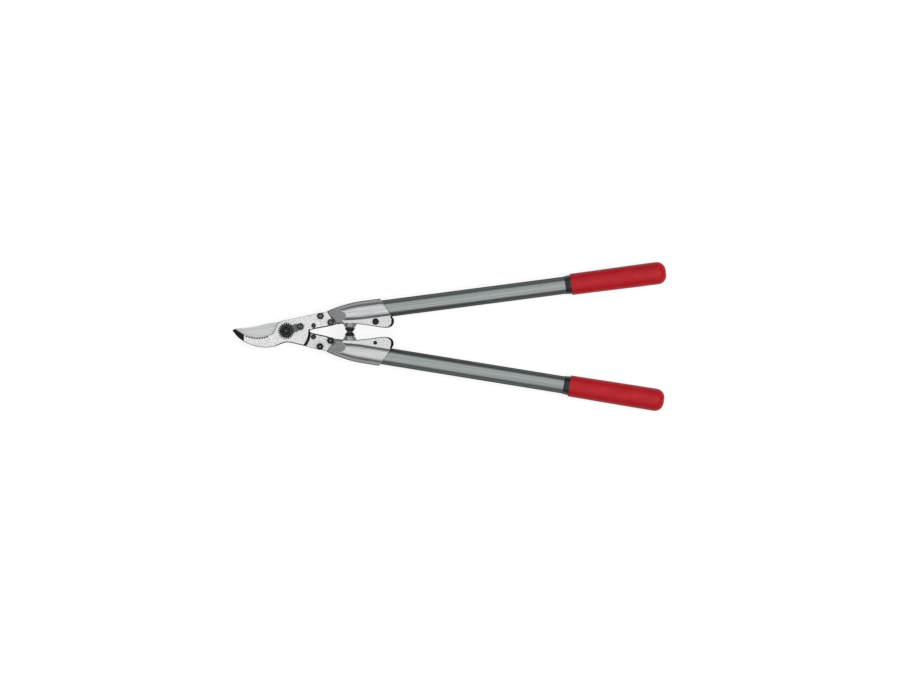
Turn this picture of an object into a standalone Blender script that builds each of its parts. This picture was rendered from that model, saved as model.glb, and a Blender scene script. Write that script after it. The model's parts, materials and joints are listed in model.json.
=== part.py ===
# A two-handed bypass lopper, 600 mm long, lying flat with its jaws closed.
# Tubular aluminium handles are clamped in two identical cast heads. One head
# carries the hooked counter blade, the other, turned over, the cutting blade.
# Blender 4.5. World +X runs from the jaws to the grips and +Z is up.
#
# Sizes are in millimetres and become metres where a mesh is made. Each arm is
# drawn in its own arm frame: the pivot is the origin, the seam between the two
# blades is z = 0, +y is the arm's outer side, and its own blade lies above
# z = 0. The upper arm's frame is the tool's. The lower arm's is turned half a
# turn about X, so its blade lies below the seam.
import math

import bmesh
import bpy
from mathutils import Matrix, Vector

mm = 0.001

# Fits
clearance = 0.3  # between two pieces that touch
seam = 0.15  # from the seam plane to each blade's inner face

# Handles
handleAngle = 8.31  # between a tube and the tool's centre line, in degrees
tubeOffset = 12.7  # from the pivot to the line of a tube's axis
tubeDiameter = 24.0
tubeWall = 1.8
socketFloor = 98.0  # along the tube, from the foot of the pivot
gripFront = 398.0
gripLength = 132.6
gripFrontRadius = 14.8
gripRearRadius = 15.5
gripEndRound = 12.0
gripEndWall = 9.0
collarLength = 7.6
collarWall = 0.5
collarFlare = 0.4

# Blades
plateThickness = 5.0
bladeBevel = 7.0  # width of the ground bevel on the cutting edge
edgeLand = 0.5  # thickness left at the cutting edge
plateChamfer = 0.4
backChamfer = 0.8  # along the hook's outer edge and the neck
tangChamfer = 1.5  # along the inner edges of tang and tongue
notchChamfer = 1.2  # from a notch's bottom back to the top face
runRadius = 31.5  # the blades' round shoulders about the pivot
runGap = 2.6  # from a shoulder to the other arm's tongue
notchCount = 9
notchPitch = 3.55
notchWidth = 2.2
notchDepth = 0.25
tipBevelX = -58.4  # where the flat at the hook's tip begins
tipBevelLength = 16.4
tipBevelDepth = 2.6

# Head castings
tongueThickness = 5.0
socketWall = 2.5
noseDrop = 7.6  # how far the outer side falls in towards the blade
noseLength = 48.5
noseCurve = 1.8
barrelNose = 56.0  # the tapering length before the shoulders are cut
shoulderStep = 0.4
shoulderRise = 26.2  # slope of the flat shoulder, in degrees
flangeHeight = 10.4  # half the thickness of the clamping flange
flangeChamfer = 1.1
lobeChamfer = 3.4  # round the rear end of the flange
flangeLip = 7.2  # from the clamp screw's shank to the rim of the flange
slitWidth = 1.8
slitStart = 101.0
lobeStart = 138.0  # along the tube, where the flange's chamfer begins to widen
hubMargin = 1.7  # metal between the tube and the clamp screw's shank

# Fasteners
boltDiameter = 5.0
boltHeadAcross = 8.8
boltHeadHeight = 3.4
nutHeight = 4.0
boltEndProud = 0.8
pinDiameter = 5.8
pinProud = 0.7
clampDiameter = 4.0
clampHeadDiameter = 7.8
clampHeadHeight = 4.0
clampSocketAcross = 3.0
clampSeat = 7.0  # height of the screw's seat above the middle of the flange
holeClearance = 0.3

# Pivot
pivotDiameter = 12.0
pivotThread = 9.0
pivotFlats = 9.6  # across the two flats that key the bolt to the counter blade
pivotHeadDiameter = 19.0
pivotHeadHeight = 3.6
gearTeeth = 20
gearTipRadius = 11.3
gearRootRadius = 8.5
gearThickness = 3.3
gearHexAcross = 12.0
gearHexHeight = 3.8
segmentWidth = 11.0
segmentEndRadius = 4.0
segmentThickness = 3.0
segmentChamfer = 0.3
segmentPlay = 0.8  # from the nut's teeth, along the radius
lockScrewDiameter = 4.0
lockHeadDiameter = 8.4
lockHeadHeight = 2.2
lockSlotWidth = 1.2
lockHoleFloor = 0.9  # metal left under the screw's hole

# Stop buffers
bufferX = 87.6
bufferRadius = 6.9
bufferNose = 3.8
bufferStem = 4.8
bufferStemDepth = 5.0
cupMouth = 5.9  # from the centre line to the cup's rim
cupRimRadius = 6.7
cupBaseRadius = 9.7
cupConeHeight = 5.2
cupDepth = 5.4

# Places in the arm frame
outerBolt = (46.8, 21.15)
innerBolt = (61.1, 12.5)
dowelPin = (37.5, 7.85)
lockScrew = (19.4, 6.2)
headEdge = ((56.0, 27.6), (69.2, 10.1))  # where the shoulder meets the plates
clampAlong = 123.8  # along the tube
castingEnd = ((134.0, 27.4), (146.0, 3.0))  # the slanted rear end, along and out
barrelFlat = 108.0  # along the tube, where the barrel reaches its full size

barrelRings = 10
steps = 36  # round a tube, a grip or a socket
smallSteps = 24  # round a fastener or a buffer
sharpAngle = 32.0  # edges sharper than this stay sharp, in degrees

# Values worked out from those above
tilt = math.radians(handleAngle)
tubeRadius = tubeDiameter / 2
boreRadius = tubeRadius + clearance
socketRadius = boreRadius + socketWall
gripEnd = gripFront + gripLength
clampOut = tubeOffset - boreRadius - clampDiameter / 2 - hubMargin
plateTop = seam + plateThickness
tongueBottom = -seam - tongueThickness


def onArm(along, out):
    """The arm-frame point that lies along the tube from the pivot's foot, and out from the pivot."""
    return (
        along * math.cos(tilt) - out * math.sin(tilt),
        along * math.sin(tilt) + out * math.cos(tilt),
    )


def curve(points, pieces=4):
    """A smooth line through the points, ends included."""
    dense = []
    knots = [Vector(p) for p in points]
    ends = [knots[0] * 2 - knots[1]] + knots + [knots[-1] * 2 - knots[-2]]
    for before, start, end, after in zip(ends, ends[1:], ends[2:], ends[3:]):
        for i in range(pieces):
            t = i / pieces
            rise = (end - before) * (t - 2 * t * t + t**3) / 2
            fall = (after - start) * (t**3 - t * t) / 2
            blend = 3 * t * t - 2 * t**3
            dense.append(start * (1 - blend) + end * blend + rise + fall)
    return [tuple(p) for p in dense + [knots[-1]]]


def arc(radius, first, last, count, centre=(0, 0)):
    """Points round a circle from one angle to the other, in degrees."""
    turn = [math.radians(first + (last - first) * i / (count - 1)) for i in range(count)]
    return [(centre[0] + radius * math.cos(a), centre[1] + radius * math.sin(a)) for a in turn]


def around(radius, count, centre=(0, 0)):
    """A closed loop whose radius is a number, or a function of the angle in radians."""
    loop = []
    for i in range(count):
        a = 2 * math.pi * i / count
        r = radius(a) if callable(radius) else radius
        loop.append((centre[0] + r * math.cos(a), centre[1] + r * math.sin(a)))
    return loop


def hexagon(across):
    """The radius of a hexagon at an angle, with a corner at angle 0."""
    return lambda a: across / 2 / math.cos((a + math.pi) % (math.pi / 3) - math.pi / 6)


def gearRadius(a):
    """The toothed nut's radius at an angle: pointed teeth with flat roots, and one tooth at angle 0."""
    share = abs((a * gearTeeth / (2 * math.pi) + 0.5) % 1 - 0.5) * 2
    return gearTipRadius - (gearTipRadius - gearRootRadius) * min(1, share * 1.5)


def each(value, points):
    """A value as a list with one for each point."""
    return value if isinstance(value, list) else [value] * len(points)


def inset(points, depth):
    """The closed outline moved in by the depth, which may be one for each point."""
    moved = []
    depths = each(depth, points)
    inward = 1 if area(points) > 0 else -1
    for i, point in enumerate(points):
        here = Vector(point)
        before = (here - Vector(points[i - 1])).normalized()
        after = (Vector(points[(i + 1) % len(points)]) - here).normalized()
        normal = Vector((-before.y - after.y, before.x + after.x)) * inward
        length = max(normal.length, 0.5)
        moved.append(tuple(here + normal.normalized() * depths[i] * 2 / length))
    return moved


def area(points):
    """Twice the outline's area, positive where it runs anticlockwise."""
    pairs = zip(points, points[1:] + points[:1])
    return sum(a[0] * b[1] - b[0] * a[1] for a, b in pairs)


def finish(name, colour, roughness, metallic):
    """A plain Principled material."""
    material = bpy.data.materials.new(name)
    material.use_nodes = True
    shader = material.node_tree.nodes["Principled BSDF"]
    shader.inputs["Base Color"].default_value = (*colour, 1)
    shader.inputs["Roughness"].default_value = roughness
    shader.inputs["Metallic"].default_value = metallic
    return material


def smooth(data):
    """Shades a mesh smooth, apart from its real edges."""
    data.shade_smooth()
    data.set_sharp_from_angle(angle=math.radians(sharpAngle))


def solid(name, mesh, material=None):
    """An object from a bmesh in millimetres, facing outwards and shaded smooth."""
    bmesh.ops.remove_doubles(mesh, verts=mesh.verts, dist=1e-4)
    bmesh.ops.scale(mesh, verts=mesh.verts, vec=(mm, mm, mm))
    bmesh.ops.recalc_face_normals(mesh, faces=mesh.faces)
    data = bpy.data.meshes.new(name)
    mesh.to_mesh(data)
    mesh.free()
    if material:
        data.materials.append(material)
    smooth(data)
    made = bpy.data.objects.new(name, data)
    bpy.context.scene.collection.objects.link(made)
    return made


def helper(name, mesh):
    """A hidden solid that another one is joined with or cut by."""
    made = solid(name, mesh)
    made.hide_render = True
    made.display_type = "WIRE"
    return made


def stack(loops, ring=False):
    """A bmesh of equal closed loops bridged in turn. A loop's height may be one for each point."""
    mesh = bmesh.new()
    rows = []
    for height, outline in loops:
        heights = each(height, outline)
        rows.append([mesh.verts.new((x, y, z)) for (x, y), z in zip(outline, heights)])
    following = rows[1:] + rows[:1] if ring else rows[1:]
    for low, high in zip(rows, following):
        for i in range(len(low)):
            mesh.faces.new((low[i - 1], low[i], high[i], high[i - 1]))
    if not ring:
        mesh.faces.new(rows[0][::-1])
        mesh.faces.new(rows[-1])
    return mesh


def turned(profile, count, ring=False):
    """A bmesh spun about X from points of distance along and radius."""
    mesh = bmesh.new()
    verts = [mesh.verts.new((x, 0, r)) for x, r in profile]
    pairs = list(zip(verts, verts[1:])) + ([(verts[-1], verts[0])] if ring else [])
    edges = [mesh.edges.new(pair) for pair in pairs]
    bmesh.ops.spin(
        mesh,
        geom=verts + edges,
        cent=(0, 0, 0),
        axis=(1, 0, 0),
        angle=2 * math.pi,
        steps=count,
        use_merge=True,
    )
    return mesh


def upright(mesh, centre=(0, 0)):
    """The spun bmesh turned so that X points up, at a place in the arm frame."""
    turn = Matrix.Translation((*centre, 0)) @ Matrix.Rotation(-math.pi / 2, 4, "Y")
    bmesh.ops.transform(mesh, matrix=turn, verts=mesh.verts)
    return mesh


def plate(outline, bottom, top, lowChamfer=0.0, highChamfer=0.0):
    """A bmesh of an outline between two heights. A rim's chamfer may be one for each point."""
    loops = [(bottom, inset(outline, lowChamfer))] if lowChamfer else []
    loops.append(([bottom + size for size in each(lowChamfer, outline)], outline))
    loops.append(([top - size for size in each(highChamfer, outline)], outline))
    loops += [(top, inset(outline, highChamfer))] if highChamfer else []
    return stack(loops)


def combine(made, other, operation):
    """Adds a Boolean to an object."""
    modifier = made.modifiers.new(other.name, "BOOLEAN")
    modifier.operation = operation
    modifier.object = other
    modifier.solver = "EXACT"


def settle(made):
    """Puts the result of an object's modifiers in its own mesh."""
    graph = bpy.context.evaluated_depsgraph_get()
    data = bpy.data.meshes.new_from_object(made.evaluated_get(graph))
    made.modifiers.clear()
    made.data = data
    smooth(data)
    return made


def clearHelpers():
    """Removes the helpers, which the settled pieces no longer need."""
    for made in list(bpy.data.objects):
        if made.hide_render:
            bpy.data.objects.remove(made)


def empty(name, parent=None, location=(0, 0, 0), rotation=(0, 0, 0)):
    """A frame that pieces hang from."""
    made = bpy.data.objects.new(name, None)
    made.location = Vector(location) * mm
    made.rotation_euler = rotation
    made.parent = parent
    bpy.context.scene.collection.objects.link(made)
    return made


def tangOutline():
    """What both blades share: the outer side from the head to the pivot, and the inner side."""
    along = (Vector(headEdge[1]) - Vector(headEdge[0])).normalized()
    away = Vector((along.y, -along.x)) * clearance
    start, end = (tuple(Vector(corner) + away) for corner in headEdge)
    outer = [start, (40.3, 24.0), (26.2, 20.9), (12.2, 17.7), (3.2, 15.7)]
    inner = [(36.6, 2.7), (53.7, 6.0), end]
    return outer, inner


def notched(points):
    """The hook's inner edge with its row of small V notches, and which points are their bottoms."""
    lengths = [0.0]
    for a, b in zip(points, points[1:]):
        lengths.append(lengths[-1] + (Vector(b) - Vector(a)).length)

    def at(distance):
        i = max(j for j in range(len(points) - 1) if lengths[j] <= distance)
        start, end = Vector(points[i]), Vector(points[i + 1])
        side = (end - start).normalized()
        return start + side * (distance - lengths[i]), Vector((-side.y, side.x))

    middle = lengths[min(range(len(points)), key=lambda j: abs(points[j][0] + 40.4))]
    first = middle - notchPitch * (notchCount - 1) / 2
    places = [first + notchPitch * i for i in range(notchCount)]
    reach = notchWidth / 2
    kept = [p for p, s in zip(points, lengths) if s < places[0] - reach]
    deepest = [len(kept) + 1 + 3 * i for i in range(notchCount)]
    for place in places:
        bottom, normal = at(place)
        bottom += normal * notchDepth
        kept += [tuple(at(place - reach)[0]), tuple(bottom), tuple(at(place + reach)[0])]
    kept += [p for p, s in zip(points, lengths) if s > places[-1] + reach]
    return kept, deepest


def shoulderArc():
    """The blades' round shoulder, which runs past the other arm's tongue."""
    return arc(runRadius, -40.0, -3.0, 14) + [(33.0, 1.4)]


def hookOutline():
    """The counter blade from above, anticlockwise from its tang's inner end, and its chamfers."""
    outer, inner = tangOutline()
    throat = [(3.2, 15.7), (-6.6, 13.5), (-12.6, 8.9), (-15.6, 1.2), (-19.2, -4.2), (-25.7, -7.6)]
    jaw = [(-33.2, -9.6), (-40.4, -10.1), (-48.0, -9.4), (-56.4, -7.3), (-64.0, -3.0), (-71.5, 1.4)]
    inside, deepest = notched(curve(throat + jaw))
    back = [(-74.9, -0.2), (-67.6, -9.1), (-58.2, -15.7), (-45.0, -21.3), (-29.5, -23.5)]
    neck = [(-16.0, -21.7), (-6.8, -18.1), (0.8, -16.0), (9.5, -17.0)]
    foot = shoulderArc()
    start = inner + curve(outer)[:-1]
    hook = curve(back + neck + foot[:1])[:-1]
    chamfers = [tangChamfer] * len(inner) + [plateChamfer] * (len(start) - len(inner) + len(inside))
    for i in deepest:
        chamfers[len(start) + i] = notchChamfer
    chamfers += [backChamfer] * len(hook) + [plateChamfer] * len(foot)
    return start + inside + hook + foot, chamfers


def bladeOutline():
    """The cutting blade from above in its own arm frame, and which points lie on its cutting edge."""
    outer, inner = tangOutline()
    heel = [(3.2, 15.7), (-6.0, 14.5), (-17.0, 14.3), (-28.0, 14.7), (-38.0, 14.0)]
    edge = [(-48.0, 11.6), (-58.0, 7.2), (-66.0, 2.4), (-72.2, -1.9)]
    cutting = curve(heel + edge)
    back = [(-72.2, -1.9), (-60.3, -3.1), (-51.4, -4.1), (-42.4, -5.6), (-31.2, -8.6)]
    neck = [(-19.9, -11.0), (-10.0, -12.2), (2.0, -14.2), (12.0, -15.8)]
    foot = shoulderArc()
    outline = inner + curve(outer)[:-1] + cutting + curve(back + neck + foot[:1])[1:-1] + foot
    first = len(inner) + len(curve(outer)) - 1
    return outline, range(first, first + len(cutting))


def keyhole():
    """A cutter for the counter blade: the pivot's round with two flats, so that the bolt can't turn."""
    half = pivotFlats / 2 + clearance
    radius = pivotDiameter / 2 + clearance
    loop = [(max(-half, min(half, x)), y) for x, y in around(radius, smallSteps)]
    return helper("key_cutter", plate(loop, seam - 2, plateTop + 2))


def hole(centre, diameter, bottom=-40.0, top=40.0):
    """A round upright cutter."""
    loop = around(diameter / 2, smallSteps, centre)
    return helper("hole_cutter", plate(loop, bottom, top))


def tangHoles(made):
    """Cuts the two bolt holes and the pin hole, which a tang and its tongue share."""
    sizes = ((outerBolt, boltDiameter), (innerBolt, boltDiameter), (dowelPin, pinDiameter))
    for centre, diameter in sizes:
        combine(made, hole(centre, diameter + 2 * holeClearance), "DIFFERENCE")


def counterBlade(steel):
    """The hooked counter blade, with a flat ground on the front of its tip."""
    outline, chamfers = hookOutline()
    mesh = plate(outline, seam, plateTop, plateChamfer, chamfers)
    made = solid("counter_blade", mesh, steel)
    combine(made, keyhole(), "DIFFERENCE")
    tapped = hole(lockScrew, lockScrewDiameter + 2 * holeClearance, seam + lockHoleFloor)
    combine(made, tapped, "DIFFERENCE")
    tangHoles(made)
    slope = math.atan2(tipBevelDepth, tipBevelLength)
    edge = Vector((tipBevelX, 0, plateTop))
    wedge = plate([(-60, -60), (0, -60), (0, 60), (-60, 60)], 0, 30)
    bmesh.ops.transform(
        wedge,
        matrix=Matrix.Translation(edge) @ Matrix.Rotation(-slope, 4, "Y"),
        verts=wedge.verts,
    )
    combine(made, helper("tip_cutter", wedge), "DIFFERENCE")
    return settle(made)


def cuttingBlade(steel):
    """The cutting blade: flat where it passes the hook, and ground to an edge on its outer side."""
    outline, edge = bladeOutline()
    top = plateTop
    depths = [plateChamfer] * len(outline)
    walls = [top - plateChamfer] * len(outline)
    for order, i in enumerate(edge):
        fromTip = outline[i][0] - outline[edge[-1]][0]
        fade = min(1.0, order / 6)
        depths[i] = max(plateChamfer, min(bladeBevel, 0.3 + 0.36 * fromTip) * fade)
        walls[i] -= (walls[i] - seam - edgeLand) * fade
    mesh = stack([(seam, outline), (walls, outline), (top, inset(outline, depths))])
    made = solid("cutting_blade", mesh, steel)
    combine(made, hole((0, 0), pivotDiameter + 2 * clearance), "DIFFERENCE")
    tangHoles(made)
    return settle(made)


def tongueOutline():
    """The tongue from above, which ends in an arc round the other blade's shoulder, and its chamfers."""
    outer, inner = tangOutline()
    radius = runRadius + runGap
    end = arc(radius, 38.6, 3.6, 12)
    outside = curve([(55.0, 27.0), (40.3, 24.2), (26.4, 21.1)])[:-1]
    inside = inner[:-1] + [onArm(84.0, 4.0), onArm(84.0, 16.0)]
    chamfers = [plateChamfer] * (len(outside) + len(end)) + [tangChamfer] * len(inside)
    return outside + end + inside, chamfers


def barrel():
    """The round body that holds the tube: ellipses along the tube's axis that narrow towards the blade."""
    mesh = bmesh.new()
    rows = []
    for i in range(barrelRings + 1):
        back = max(0, 1 - i / (barrelRings - 1)) * barrelNose
        along = barrelFlat - back if i < barrelRings else clampAlong + 40.0
        half = socketRadius - noseDrop * (back / noseLength) ** noseCurve
        share = half / socketRadius
        ring = around(socketRadius, steps)
        rows.append([mesh.verts.new((along, tubeOffset + share * y, z)) for y, z in ring])
    for low, high in zip(rows, rows[1:]):
        for i in range(steps):
            mesh.faces.new((low[i - 1], low[i], high[i], high[i - 1]))
    mesh.faces.new(rows[0])
    mesh.faces.new(rows[-1][::-1])
    bmesh.ops.rotate(mesh, matrix=Matrix.Rotation(tilt, 3, "Z"), verts=mesh.verts)
    return mesh


def flangeOutline():
    """The casting from above without its barrel: web and clamping flange, and their chamfers."""
    rim = clampOut - clampDiameter / 2 - flangeLip
    start = [(99.3, rim + 9.0), (115.6, rim + 4.6), (128.0, rim + 0.8), (136.5, rim - 1.2)]
    lobe = [(143.4, rim - 0.7), (147.9, rim + 2.8), (149.3, rim + 8.4), (148.1, rim + 13.7)]
    inner = [onArm(65.0, 0.3), onArm(77.3, -0.3), onArm(88.0, -1.5)]
    edge = curve(start + lobe, 3)
    outer = [onArm(160.0, 22.0), onArm(95.0, 22.2), onArm(75.0, 21.0), onArm(54.0, 18.6)]
    chamfers = [flangeChamfer] * len(inner)
    for along, _ in edge:
        share = min(1, max(0, (along - lobeStart) / (lobe[-2][0] - lobeStart)))
        chamfers.append(flangeChamfer + (lobeChamfer - flangeChamfer) * share)
    chamfers += [flangeChamfer] * len(outer)
    return inner + [onArm(*p) for p in edge] + outer, chamfers


def shoulderCutter():
    """A long bar that leaves the two flat sloping shoulders and the upright face between them."""
    start, end = Vector(headEdge[0]), Vector(headEdge[1])
    heading = math.atan2(end.y - start.y, end.x - start.x)
    foot = plateTop + shoulderStep
    reach, top = 60, 90
    slope = foot + reach * math.tan(math.radians(shoulderRise))
    above = [(0, foot), (reach, slope), (reach, top), (-reach, top)]
    below = [(y, -z) for y, z in above[::-1]]
    bar = plate(above + below, -80, 80)
    lying = Matrix(((0, 0, 1, 0), (1, 0, 0, 0), (0, 1, 0, 0), (0, 0, 0, 1)))
    place = Matrix.Translation((*start, 0)) @ Matrix.Rotation(heading, 4, "Z") @ lying
    bmesh.ops.transform(bar, matrix=place, verts=bar.verts)
    return helper("shoulder_cutter", bar)


def endCutter():
    """A block that leaves the casting's slanted rear end."""
    top, foot = (Vector(onArm(*corner)) for corner in castingEnd)
    heading = math.atan2(foot.y - top.y, foot.x - top.x)
    block = plate([(-60, 0), (60, 0), (60, 80), (-60, 80)], -50, 50)
    place = Matrix.Translation((*top, 0)) @ Matrix.Rotation(heading, 4, "Z")
    bmesh.ops.transform(block, matrix=place, verts=block.verts)
    return helper("end_cutter", block)


def axial(mesh):
    """A bmesh about X put on the tube's axis."""
    place = Matrix.Rotation(tilt, 4, "Z") @ Matrix.Translation((0, tubeOffset, 0))
    bmesh.ops.transform(mesh, matrix=place, verts=mesh.verts)
    return mesh


def cupCone(profile, count=steps):
    """A bmesh spun about the buffers' line, from points of distance from the centre line and radius."""
    mesh = turned(profile, count)
    place = Matrix.Translation((bufferX, 0, 0)) @ Matrix.Rotation(math.pi / 2, 4, "Z")
    bmesh.ops.transform(mesh, matrix=place, verts=mesh.verts)
    return mesh


def cupProfile():
    """The outside of the buffer's cup: a cone that widens into the flange."""
    base = cupMouth + cupConeHeight
    inside = base + 3.8
    sides = [(cupMouth, cupRimRadius), (base, cupBaseRadius), (inside, cupBaseRadius)]
    return [(cupMouth, 0)] + sides + [(inside, 0)]


def headCasting(alloy):
    """One cast head: barrel, shoulders, tongue, buffer cup and split clamping flange."""
    made = solid("upper_handle_head", barrel(), alloy)
    outline, chamfers = flangeOutline()
    flange = plate(outline, -flangeHeight, flangeHeight, chamfers, chamfers)
    combine(made, helper("flange", flange), "UNION")
    combine(made, shoulderCutter(), "DIFFERENCE")
    combine(made, endCutter(), "DIFFERENCE")
    combine(made, helper("cup", cupCone(cupProfile())), "UNION")
    outline, chamfers = tongueOutline()
    tongue = plate(outline, tongueBottom, -seam, chamfers)
    combine(made, helper("tongue", tongue), "UNION")
    bore = [(socketFloor, 0), (socketFloor, boreRadius), (220, boreRadius), (220, 0)]
    combine(made, helper("bore_cutter", axial(turned(bore, steps))), "DIFFERENCE")
    inside = tubeOffset - boreRadius + 4.3
    corners = [(slitStart, -40), (180, -40), (180, inside), (slitStart, inside)]
    slit = plate([onArm(*corner) for corner in corners], -slitWidth / 2, slitWidth / 2)
    combine(made, helper("slit_cutter", slit), "DIFFERENCE")
    tangHoles(made)
    clamp = onArm(clampAlong, clampOut)
    combine(made, hole(clamp, clampDiameter + 2 * holeClearance), "DIFFERENCE")
    combine(made, hole(clamp, clampHeadDiameter + 2 * holeClearance, clampSeat), "DIFFERENCE")
    radius, floor = bufferStem + clearance, cupMouth + cupDepth
    hollow = cupCone([(0, 0), (0, radius), (floor, radius), (floor, 0)])
    combine(made, helper("cup_cutter", hollow), "DIFFERENCE")
    return settle(made)


def tube(alloy):
    """The handle tube, from the socket's floor to just short of the grip's end."""
    start, end = socketFloor + clearance, gripEnd - gripEndWall - clearance
    inner = tubeRadius - tubeWall
    profile = [(start, tubeRadius), (end, tubeRadius), (end, inner), (start, inner)]
    return solid("upper_tube", axial(turned(profile, steps, ring=True)), alloy)


def collar(plastic):
    """The thin black sleeve in front of the grip."""
    start, end = gripFront - clearance - collarLength, gripFront - clearance
    thin = boreRadius + collarWall
    flared = thin + collarFlare
    outside = [(start, thin), (end - 2, flared), (end, flared)]
    profile = [(start, boreRadius)] + outside + [(end, boreRadius)]
    return solid("upper_collar", axial(turned(profile, steps, ring=True)), plastic)


def grip(rubber):
    """The moulded grip: a sleeve with a rounded lip, a slight swell and a domed closed end."""
    lip = [
        (gripFront, boreRadius + 1.0),
        (gripFront + 1.6, gripFrontRadius - 0.6),
        (gripFront + 5, gripFrontRadius),
    ]
    swell = [(gripFront + gripLength * 0.72, gripRearRadius)]
    corner = arc(gripEndRound, 90, 0, 6, (gripEnd - gripEndRound, gripRearRadius - gripEndRound))
    floor = gripEnd - gripEndWall
    bore = [(floor, 0), (floor, boreRadius), (gripFront, boreRadius)]
    profile = lip + swell + corner + [(gripEnd, 0)] + bore
    return solid("upper_grip", axial(turned(profile + lip[:1], steps)), rubber)


def buffer(rubber):
    """The rubber stop: a nose that meets the other arm's, and a stem in the cup."""
    nose = clearance / 2
    mouth = cupMouth - clearance
    front = [(nose, 0), (nose, bufferNose), (nose + 1.0, bufferRadius - 2.3)]
    bowl = front + [(nose + 2.6, bufferRadius - 0.9), (nose + 4.2, bufferRadius)]
    seat = [(mouth, bufferRadius - 0.3), (mouth, bufferStem)]
    stem = [(mouth + bufferStemDepth, bufferStem), (mouth + bufferStemDepth, 0)]
    return solid("upper_buffer", cupCone(bowl + seat + stem, smallSteps), rubber)


def bolt(name, centre, steel):
    """A hexagon bolt through tang and tongue."""
    seat = plateTop + clearance
    top = seat + boltHeadHeight
    end = tongueBottom - clearance - nutHeight - boltEndProud
    shank = around(boltDiameter / 2, smallSteps)
    head = around(hexagon(boltHeadAcross), smallSteps)
    crown = around(boltHeadAcross / 2 * 0.94, smallSteps)
    tip = around(boltDiameter / 2 - 0.5, smallSteps)
    below = [(end, tip), (end + 0.5, shank), (seat, shank)]
    above = [(seat, head), (top - 0.7, head), (top, crown)]
    made = solid(name, stack(below + above), steel)
    made.location = Vector((*centre, 0)) * mm
    return made


def nut(name, centre, steel):
    """A hexagon nut under the tongue."""
    top = tongueBottom - clearance
    bottom = top - nutHeight
    outside = around(hexagon(boltHeadAcross), smallSteps)
    crown = around(boltHeadAcross / 2 * 0.94, smallSteps)
    inside = around(boltDiameter / 2 + holeClearance, smallSteps)
    sides = [(bottom, crown), (bottom + 0.7, outside), (top, outside)]
    loops = [(bottom, inside)] + sides + [(top, inside)]
    made = solid(name, stack(loops, ring=True), steel)
    made.location = Vector((*centre, 0)) * mm
    return made


def pin(steel):
    """The dowel pin that takes the shear between tang and tongue."""
    radius = pinDiameter / 2
    low, high = tongueBottom - pinProud, plateTop + pinProud
    foot = [(low, 0), (low, radius - 0.5), (low + 0.5, radius)]
    profile = foot + [(high - 0.5, radius), (high, radius - 0.5), (high, 0)]
    return solid("upper_dowel_pin", upright(turned(profile, smallSteps), dowelPin), steel)


def clampScrew(steel):
    """The socket head screw that closes the split flange on the tube."""
    seat = clampSeat + clearance
    top = seat + clampHeadHeight
    radius, head = clampDiameter / 2, clampHeadDiameter / 2
    key = around(hexagon(clampSocketAcross), smallSteps)
    loops = [
        (-flangeHeight, around(radius - 0.4, smallSteps)),
        (-flangeHeight + 0.4, around(radius, smallSteps)),
        (seat, around(radius, smallSteps)),
        (seat, around(head, smallSteps)),
        (top - 0.4, around(head, smallSteps)),
        (top, around(head - 0.4, smallSteps)),
        (top, key),
        (top - 2.4, key),
    ]
    made = solid("upper_clamp_screw", stack(loops), steel)
    made.location = Vector((*onArm(clampAlong, clampOut), 0)) * mm
    return made


def pivotBolt(steel):
    """The pivot: round head, bearing for the cutting blade, two flats in the counter blade, and a thread."""
    low = -plateTop - clearance
    under = low - pivotHeadHeight
    half = pivotFlats / 2
    bearing = around(pivotDiameter / 2, smallSteps)
    flats = [(max(-half, min(half, x)), y) for x, y in bearing]
    head = around(pivotHeadDiameter / 2, smallSteps)
    thread = around(pivotThread / 2, smallSteps)
    top = plateTop + clearance + gearThickness + gearHexHeight + 0.6
    loops = [
        (under, around(pivotHeadDiameter / 2 - 1.2, smallSteps)),
        (under + 1.2, head),
        (low, head),
        (low, bearing),
        (-seam, bearing),
        (-seam, flats),
        (plateTop - 0.4, flats),
        (plateTop - 0.4, thread),
        (top - 0.6, thread),
        (top, around(pivotThread / 2 - 0.6, smallSteps)),
    ]
    return solid("pivot_bolt", stack(loops), steel)


def toothedNut(steel):
    """The pivot nut: a toothed flange for setting the play, with a hexagon on top."""
    count = gearTeeth * 3 * (1 + gearTeeth % 2)
    low = plateTop + clearance
    rim = low + gearThickness
    top = rim + gearHexHeight
    inner = around(pivotThread / 2 + holeClearance, count)
    teeth = around(gearRadius, count)
    shape = around(hexagon(gearHexAcross), count)
    crown = around(gearHexAcross / 2 * 0.95, count)
    flange = [(low, inner), (low, teeth), (rim, teeth)]
    upper = [(rim, shape), (top - 0.6, shape), (top, crown), (top, inner)]
    made = solid("toothed_nut", stack(flange + upper, ring=True), steel)
    made.rotation_euler.z = math.atan2(lockScrew[1], lockScrew[0])
    return made


def lockingSegment(steel):
    """The small plate whose hollow end fits the nut's teeth and stops it turning."""
    low = plateTop + clearance
    reach = Vector(lockScrew).length
    half = segmentWidth / 2
    spread = math.asin(half / gearTipRadius)
    third = 2 * math.pi / gearTeeth / 3
    inside = int(spread / third)
    angles = [-spread] + [third * i for i in range(-inside, inside + 1)] + [spread]
    hollow = []
    for a in angles:
        r = gearRadius(a) + segmentPlay
        hollow.append((r * math.cos(a), r * math.sin(a)))
    shoulder = [(13.6, half), (14.8, half - 0.3), (15.8, half - 0.9), (17.4, half - 1.3)]
    rounded = arc(segmentEndRadius, 80, -80, 11, (reach, 0))
    outside = shoulder + rounded + [(x, -y) for x, y in shoulder[::-1]]
    chamfers = [0.0] * len(hollow) + [segmentChamfer] * len(outside)
    mesh = plate(hollow + outside, low, low + segmentThickness, 0, chamfers)
    made = solid("locking_segment", mesh, steel)
    made.rotation_euler.z = math.atan2(lockScrew[1], lockScrew[0])
    combine(made, hole(lockScrew, lockScrewDiameter + 2 * holeClearance), "DIFFERENCE")
    return settle(made)


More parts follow.
